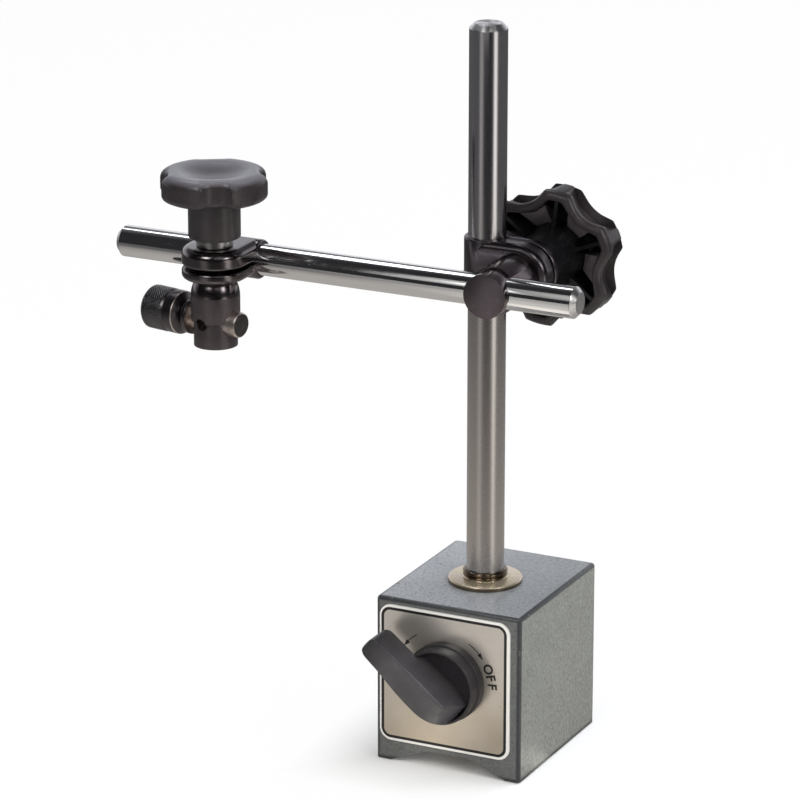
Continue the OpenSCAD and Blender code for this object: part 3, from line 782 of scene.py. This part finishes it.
# The column clamp.
# A split steel strap closes on the column when the star knob pulls the eye bolt; a sleeve with
# a notch for the arm stands between. Strap, sleeve and bolt are blackened by oxide.
def black_oxide(name, dark, pale, rough, satin_below=0):
    """A dark metal that mirrors; below a height in millimetres it is only satin."""
    material, place = surface(name)
    satin = 1 - axis_of(place, "Z").rise((satin_below - 0.5) * mm, satin_below * mm)
    tone = noise(place, 120, 3).rise(0.3, 0.7)
    grit = noise(place, 3000, 2)
    rub = noise(place, 500, 4).rise(0.62, 0.8)
    return dress(material, {
        "Base Color": (rub * 0.3).tint(tone.tint(dark, pale), (0.36, 0.32, 0.32, 1)), "Metallic": 1.0,
        "Roughness": rough + grit * 0.08 - rub * 0.03 + satin * 0.3, "Normal": bump(grit, 0.04, 0.00004)})


def strap_piece(name, rod, where, material):
    """A split ring about a rod along Z with two ears toward +X, their rims rounded over."""
    bore, ring, reach, wide = rod / 2 + 0.05, rod / 2 + 1.25, rod / 2 + 6.8, 10.4
    half_tall, slit, thin, hole, around = 10.35, 0.6, 3.9, 4.05, 120

    def ear_outline(inset, depth):
        """The ear's edge at one distance from the slit's middle; its root keeps clear of the rod."""
        root = math.sqrt(max((bore + 0.3) ** 2 - depth ** 2, 0)) + inset * 0.1
        points = []
        for i in range(around):
            t = 2 * math.pi * (i + 0.5) / around
            ahead, aside = math.cos(t), math.sin(t)
            r = wide - inset
            if ahead < 0:
                r = min(r / abs(aside), (reach - root) / -ahead)
            points.append(Vector((reach + r * ahead, depth, r * aside)))
        return points

    def ear_hole(depth):
        return [Vector((reach + p.x, depth, p.y)) for p in circle(hole, 0, around)]

    def section(turn):
        corners = rounded([
            (bore, -half_tall, 0.2), (ring, -half_tall, 0.6), (ring, half_tall, 0.6), (bore, half_tall, 0.2)])
        return [Vector((r * math.cos(turn), r * math.sin(turn), h)) for r, h in corners]

    shape = bmesh.new()
    inner, past_hole = 0.8, 5
    for side, face, rim in ((-1, ring, 2.4), (1, thin, 1.5)):
        levels = [(0, slit + inner + (face - rim - slit - inner) * k / 6, 0) for k in range(1, 6)]
        near, far = [(past_hole, slit, 0), (0, slit, inner)], [(0, face, rim), (past_hole, face, 0)]
        path = rounded(near + levels + far, 6)
        rings = [ear_hole(side * slit)] + [ear_outline(inset, side * depth) for inset, depth in path]
        stack(shape, rings + [ear_hole(side * face)], where, True)
    start = math.asin(slit / bore)
    turns = [start + (2 * math.pi - 2 * start) * k / around for k in range(around + 1)]
    half = (bore + ring) / 2
    middle = [Vector((half * math.cos(t), half * math.sin(t), 0)) for t in (start, -start)]
    stack(shape, [[middle[0]]] + [section(t) for t in turns] + [[middle[1]]], where)
    return finish_piece(name, shape, (material,), 40)


def softened(name, node, edge, material):
    """A copy of a CAD node whose hard edges are rounded off."""
    sharp = math.radians(28)
    shape = bmesh.new()
    shape.from_mesh(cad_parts[node].data)
    shape.transform(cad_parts[node].matrix_world)
    shape.transform(Matrix.Scale(1 / mm, 4))
    bmesh.ops.remove_doubles(shape, verts=shape.verts, dist=0.002)
    bmesh.ops.dissolve_limit(shape, angle_limit=math.radians(0.5), verts=shape.verts, edges=shape.edges)
    hard = [e for e in shape.edges if len(e.link_faces) == 2 and e.calc_face_angle(0) > sharp]
    round_edges(shape, hard, edge, 3)
    return finish_piece(name, shape, (material,), 40)


oxide = black_oxide("black_oxide", (0.155, 0.127, 0.137, 1), (0.215, 0.18, 0.193, 1), 0.18)
strap_oxide = black_oxide("strap_oxide", (0.12, 0.105, 0.115, 1), (0.175, 0.154, 0.168, 1), 0.2)
column_middle, arm_middle = node_box("column")[2], node_box("cross_arm")[2]
strap = strap_piece("clamp_strap", 12, Matrix.Translation((0, column_middle.y, arm_middle.z)), strap_oxide)
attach(strap, "column_clamp")
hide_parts("column_strap")
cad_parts["star_washer"].material_slots[0].material = steel
bolt = softened("clamp_bolt", "eye_bolt", 0.45, oxide)
sleeve = softened("notched_sleeve", "clamp_sleeve", 0.35, oxide)
for piece, node in ((bolt, "eye_bolt"), (sleeve, "clamp_sleeve")):
    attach(piece, "eye")
    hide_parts(node)


# The star knob.
# A hollow black moulding behind the strap: six lobes, a thin rim with a rounded lip, a conical
# hub, a rib to each lobe and a sloping web to each valley. A brass insert carries its thread.
def lobed(angle, lobes, radius, scallop, distance, soft):
    """Distance from the axis to a circle with a scallop between lobes, the corners softened."""
    step = 2 * math.pi / lobes
    turn = angle % step - step / 2
    aside = distance * math.sin(turn)
    if abs(aside) >= scallop:
        return radius
    valley = distance * math.cos(turn) - math.sqrt(scallop ** 2 - aside ** 2)
    blend = max(soft - abs(radius - valley), 0) / soft
    return min(radius, valley) - blend * blend * soft / 4


def star_piece(black, hollow, web):
    lobes, radius, valley, scallop, wall, soft, count = 6, 22.2, 18.9, 9, 3.1, 2.4, 288
    rim, floor, back, crown, lip = 10.8, 20, 26, 60, 2.3
    insert, insert_end, stud, stud_end = 5.5, 13, 4.4, 17

    def outline(inset, height, fill=0):
        """The lobed edge at one inset; fill draws the valleys in towards the floor."""
        turns = (2 * math.pi * i / count for i in range(count))
        bite = scallop + inset + fill
        reach = [(t, lobed(t, lobes, radius - inset, bite, valley + scallop, soft)) for t in turns]
        return [Vector((r * math.cos(t), r * math.sin(t), height)) for t, r in reach]

    hub = rounded([
        (stud, stud_end, 0), (stud, insert_end, 0), (insert, insert_end, 0), (insert, 0, 0), (7.4, 0, 0.2),
        (8.2, 0.8, 0.3), (10.5, floor, 1.2), (14, floor, 0)])
    rings = [circle(0, stud_end)] + [circle(r, h, count) for r, h in hub]
    inside = rounded([
        (wall + 2, floor, 0), (wall + 0.15, floor, 0.8), (wall, rim, 0.7),
        (0, rim, lip), (0, floor + 1, 0)], 6)
    steep = 3 / (floor - rim)
    rings += [outline(inset, height, steep * max(height - rim - 1, 0)) for inset, height in inside]
    # Painted shade: the stud, the hub, the hollow's floor and the foot of its wall get a near-black copy of
    # the black, as do the ribs.
    hollow_bands = range(len(hub) + 9)

    def crown_height(reach):
        return back - crown + math.sqrt(crown ** 2 - reach ** 2)

    for inset, lift in ((0.2, 0.9), (0.7, 0.4), (1.5, 0.1), (2.6, 0), (4, 0), (8, 0), (13, 0)):
        flat = outline(inset, 0)
        rings.append([Vector((p.x, p.y, crown_height(p.length) - lift)) for p in flat])
    rings.append(circle(0, back))
    low = node_box("star_knob")[0]
    axis = node_box("star_insert")[2]
    phase = math.radians(22)
    place = Matrix(((math.cos(phase), math.sin(phase), 0, axis.x), (0, 0, 1, low.y),
                    (math.sin(phase), -math.cos(phase), 0, axis.z), (0, 0, 0, 1)))
    shape = bmesh.new()
    stack(shape, rings, place, False, hollow_bands)
    rib_start, rib_end, rib_half, rib_front = 8.6, radius - wall + 0.4, 0.6, 12.5
    rib = [(r, side * rib_half, rib_front)
           for r, side in ((rib_start, -1), (rib_end, -1), (rib_end, 1), (rib_start, 1))]
    slope = [(9, -2.4, floor - 1.4), (16.8, -4.8, 12.6), (16.8, 4.8, 12.6), (9, 2.4, floor - 1.4)]
    for i in range(lobes):
        for corners, half, part in ((rib, 0, 1), (slope, 0.5, 0)):
            turn = place @ Matrix.Rotation(2 * math.pi * (i + half) / lobes, 4, "Z")
            front = [Vector(corner) for corner in corners]
            foot = [Vector((r, w, floor + 0.3)) for r, w, _ in corners]
            caps = [[sum(ring, Vector()) / len(ring)] for ring in (front, foot)]
            stack(shape, [caps[0], front, foot, caps[1]], turn, False, range(3 * part))
    # Painted light: the sloping faces inside the hollow at the valleys get the lighter copy of the black, for
    # the light they catch.
    back_home = place.inverted()
    for face in shape.faces:
        spot = back_home @ face.calc_center_median()
        if face.material_index == 0 and rim + 1.5 < spot.z < floor and spot.xy.length < valley - wall:
            face.material_index = 2
    return finish_piece("star_moulding", shape, (black, hollow, web), 32)


knob_black = moulded_black("knob_black", (0.02, 0.016, 0.0174, 1), (0.03, 0.0248, 0.0268, 1), 0.28)
# Painted shade: a near-black copy of the black for the hollow.
hollow_shade_black = moulded_black("hollow_shade_black", (0.003, 0.003, 0.0035, 1), (0.006, 0.006, 0.007, 1), 0.26)
# Painted light: a lighter copy of the black for the webs' sloping faces.
web_lit_black = moulded_black("web_lit_black", (0.075, 0.064, 0.068, 1), (0.105, 0.092, 0.097, 1), 0.4)
star = star_piece(knob_black, hollow_shade_black, web_lit_black)
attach(star, "star_knob")
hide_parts("star_knob")
for node in ("star_insert", "top_insert"):
    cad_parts[node].material_slots[0].material = brass


# The cross arm.
# A polished steel bar, its ends turned and chamfered. It slides in the eye bolt's cross hole
# and is held there by the star knob.
def polished_steel():
    material, place = surface("polished_steel")
    polish = combed(place, (26000, 1500, 1500))
    haze = noise(place, 120, 3).rise(0.4, 0.7)
    return dress(material, {
        "Base Color": (polish * 0.25).tint((0.94, 0.93, 0.92, 1), (0.72, 0.7, 0.68, 1)), "Metallic": 1.0,
        "Roughness": 0.06 + haze * 0.06 + polish * 0.03, "Normal": bump(polish, 0.03, 0.00002)})


def arm_piece(steel, end):
    low, high, middle = node_box("cross_arm")
    length, bar, chamfer, edge, end_bands = high.x - low.x, 5, 1.6, 0.25, 8
    path = rounded([
        (0, 0, 0), (bar - chamfer, 0, edge), (bar, chamfer, edge),
        (bar, length - chamfer, edge), (bar - chamfer, length, edge), (0, length, 0)])
    place = Matrix.Translation((low.x, middle.y, middle.z)) @ Matrix.Rotation(math.pi / 2, 4, "Y")
    shape = bmesh.new()
    rings = [circle(radius, height) for radius, height in path]
    last = len(rings)
    stack(shape, rings, place, False, [*range(end_bands), *range(last - end_bands, last)])
    return finish_piece("arm_bar", shape, (steel, end))


arm = arm_piece(polished_steel(), turned_end("arm_end", "cross_arm", "YZ", 0))
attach(arm, "arm")
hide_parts("cross_arm")


# The arm clamp.
# The same split strap of blackened steel, closed on the arm with its ears lying flat. A bright
# turned ring lies on the upper ear and keeps the top knob off it.
holder_oxide = black_oxide("holder_oxide", (0.15, 0.133, 0.136, 1), (0.21, 0.188, 0.192, 1), 0.14)
arm_place = Matrix(((0, 0, 1, node_box("top_insert")[2].x), (-1, 0, 0, arm_middle.y),
                    (0, -1, 0, arm_middle.z), (0, 0, 0, 1)))
arm_strap = strap_piece("arm_clamp_strap", 10, arm_place, holder_oxide)
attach(arm_strap, "arm_clamp")
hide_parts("arm_strap")
washer = softened("spacer_ring", "arm_washer", 0.5, steel)
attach(washer, "arm_clamp")
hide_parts("arm_washer")


# The holder.
# A blackened eye bolt hangs through the ears; a domed bush on its stud pushes the adapter rod
# into the eye when the top knob is tightened.
dome_foot = node_box("holder_bush")[1].z - 5
bush_oxide = black_oxide(
    "bush_oxide", (0.155, 0.133, 0.138, 1), (0.21, 0.18, 0.186, 1), 0.14, dome_foot)
eye = softened("holder_bolt", "holder_eye", 0.4, bush_oxide)
bush = softened("domed_bush", "holder_bush", 0.25, bush_oxide)
for piece, node in ((eye, "holder_eye"), (bush, "holder_bush")):
    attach(piece, "holder")
    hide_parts(node)


# The top knob.
# A solid black moulding with a plain hub: a thick round head with four shallow scallops and a
# dished top, screwed on the holder's stud.
def top_piece(black):
    lobes, radius, scallop, depth, soft, count = 4, 17.2, 6, 3, 0.7, 240
    hub, neck, head = 8.2, 11.6, 9.7
    insert, insert_end, stud, stud_end = 5.5, 13, 4.4, 16.5
    dish_wide, dish_deep, rim, fade = 11, 1.7, 3.2, 0.6
    phase = math.radians(-59) - math.pi / lobes
    top = neck + head

    def outline(reach, height, follow):
        """An edge at one reach; follow is the share of the scallops that it takes up."""
        points = []
        for i in range(count):
            t = 2 * math.pi * i / count
            edge = lobed(t, lobes, reach, scallop + radius - reach, radius - depth + scallop, soft)
            r = reach + (edge - reach) * follow
            points.append(Vector((r * math.cos(t + phase), r * math.sin(t + phase), height)))
        return points

    bore = rounded([
        (stud, stud_end, 0), (stud, insert_end, 0), (insert, insert_end, 0), (insert, 0, 0),
        (hub, 0, 0.4), (hub, neck, 0.6), (10, neck + 0.2, 0)])
    rings = [circle(0, stud_end)] + [circle(r, h, count) for r, h in bore]
    side = rounded([
        (12.5, neck + 0.5, 0), (radius, neck + 0.9, 2.4), (radius, top, rim),
        (dish_wide + 1.6, top - 0.05, 0)], 6)
    rings += [outline(r, h, 1 - fade * max((h - top) / rim + 1, 0) ** 2) for r, h in side]
    bowl = (dish_wide ** 2 + dish_deep ** 2) / (2 * dish_deep)
    turn = Matrix.Rotation(phase, 4, "Z")
    for share in (0.93, 0.85, 0.7, 0.5, 0.25):
        reach = dish_wide * share
        drop = math.sqrt(bowl ** 2 - reach ** 2) - (bowl - dish_deep)
        rings.append([turn @ point for point in circle(reach, top - drop - 0.1 * share, count)])
    rings.append(circle(0, top - dish_deep))
    low = node_box("top_knob")[0]
    axis = node_box("top_insert")[2]
    shape = bmesh.new()
    stack(shape, rings, Matrix.Translation((axis.x, axis.y, low.z)))
    return finish_piece("top_moulding", shape, (black,), 40)


# Painted light: the top knob's black turns pale bluish grey over its top 2 mm, for the light on its top.
top_black = moulded_black(
    "top_black", (0.02, 0.016, 0.0174, 1), (0.03, 0.0248, 0.0268, 1), 0.28, (0, 0, 1),
    (node_box("top_knob")[1].z - 0.2) * mm, 1.8 * mm, (0.19, 0.184, 0.21, 1))
top = top_piece(top_black)
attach(top, "top_knob")
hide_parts("top_knob")


# The adapter and its thumb nut.
# A short blackened steel rod through the holder, with a bevelled flange worn bright. The knurled
# nut screws on its end and closes a V jaw that grips an indicator's dovetail.
def along_rod():
    """Turns Z from the holder's stud to the jaw."""
    axis = node_box("top_insert")[2]
    turn = math.radians(-11)
    way = Vector((-math.cos(turn), -math.sin(turn), 0))
    aside = Vector((math.sin(turn), -math.cos(turn), 0))
    up = way.cross(aside)
    place = Matrix((aside, up, way)).transposed().to_4x4()
    place.translation = (axis.x, axis.y, node_box("adapter_rod")[2].z)
    return place


def worn_oxide():
    material, place = surface("worn_oxide")
    worn = noise(place, 700, 3).rise(0.35, 0.65)
    grit = noise(place, 3000, 2)
    return dress(material, {
        "Base Color": worn.tint((0.6, 0.5, 0.45, 1), (0.86, 0.78, 0.71, 1)), "Metallic": 1.0,
        "Roughness": 0.3 + grit * 0.12, "Normal": bump(grit, 0.05, 0.00004)})


def rod_piece(oxide, bright):
    bar, chamfer, flange, jaw, stud = 4, 0.4, 6, 4.5, 2.5
    tail, shoulder, bevel, face, end = -10.3, 8, 9.5, 11, 22
    path = rounded([
        (0, tail, 0), (bar - chamfer, tail, 0.1), (bar, tail + chamfer, 0.1), (bar, shoulder, 0),
        (flange, shoulder, 0.25), (flange, bevel, 0.2), (jaw, face, 0.15),
        (stud, face, 0), (stud, end, 0), (0, end, 0)])
    worn_bands = range(2, 12)
    shape = bmesh.new()
    rings = [circle(radius, height) for radius, height in path]
    stack(shape, rings, along_rod(), False, worn_bands)
    return finish_piece("adapter_bar", shape, (oxide, bright))


def nut_piece(knurl, smooth, worn):
    radius, pitch, depth, crest, around, along = 7, 0.92, 0.28, 0.8, 192, 40
    face, start, end, edge = 11.4, 16.9, 25.4, 0.7
    jaw, neck, groove = 4.5, 6.9, 6.5
    teeth = round(2 * math.pi * radius / pitch)

    def wave(turns):
        return 1 - abs((turns % 1) * 2 - 1)

    def knurled(height):
        ring = []
        for i in range(around):
            t = 2 * math.pi * i / around
            lead = (height - start) / pitch
            ridge = min(wave(teeth * i / around + lead), wave(teeth * i / around - lead), crest)
            r = radius - depth + depth * ridge / crest
            ring.append(Vector((r * math.cos(t), r * math.sin(t), height)))
        return ring

    front = rounded([
        (0, face, 0), (jaw, face, 0.15), (neck, face + 1.5, 0.4), (neck, start - 0.7, 0.15),
        (groove, start - 0.4, 0), (groove, start, 0), (radius - depth, start + 0.3, 0)])
    rings = [circle(r, h, around) for r, h in front]
    rings += [knurled(start + edge + (end - start - 2 * edge) * k / along) for k in range(along + 1)]
    rings.append(circle(radius - depth, end - edge * 0.6, around))
    rings += [circle(radius - edge, end, around), circle(0, end)]
    shape = bmesh.new()
    stack(shape, rings, along_rod(), False, range(len(front)))
    back = along_rod().inverted()
    for face in shape.faces:
        spot = back @ face.calc_center_median()
        if 12.5 < spot.z < 13.1 and spot.xy.length > 6.2:
            face.material_index = 2
    return finish_piece("knurled_nut", shape, (knurl, smooth, worn), 60)


nut_black = black_oxide("nut_black", (0.1, 0.091, 0.095, 1), (0.15, 0.138, 0.143, 1), 0.27)
bar_oxide = worn_oxide()
rod = rod_piece(nut_black, bar_oxide)
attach(rod, "adapter")
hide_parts("adapter_rod")
nut_oxide = black_oxide("nut_oxide", (0.15, 0.142, 0.147, 1), (0.23, 0.219, 0.226, 1), 0.24)
nut = nut_piece(nut_oxide, nut_black, bar_oxide)
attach(nut, "thumb_nut")
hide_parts("thumb_nut")
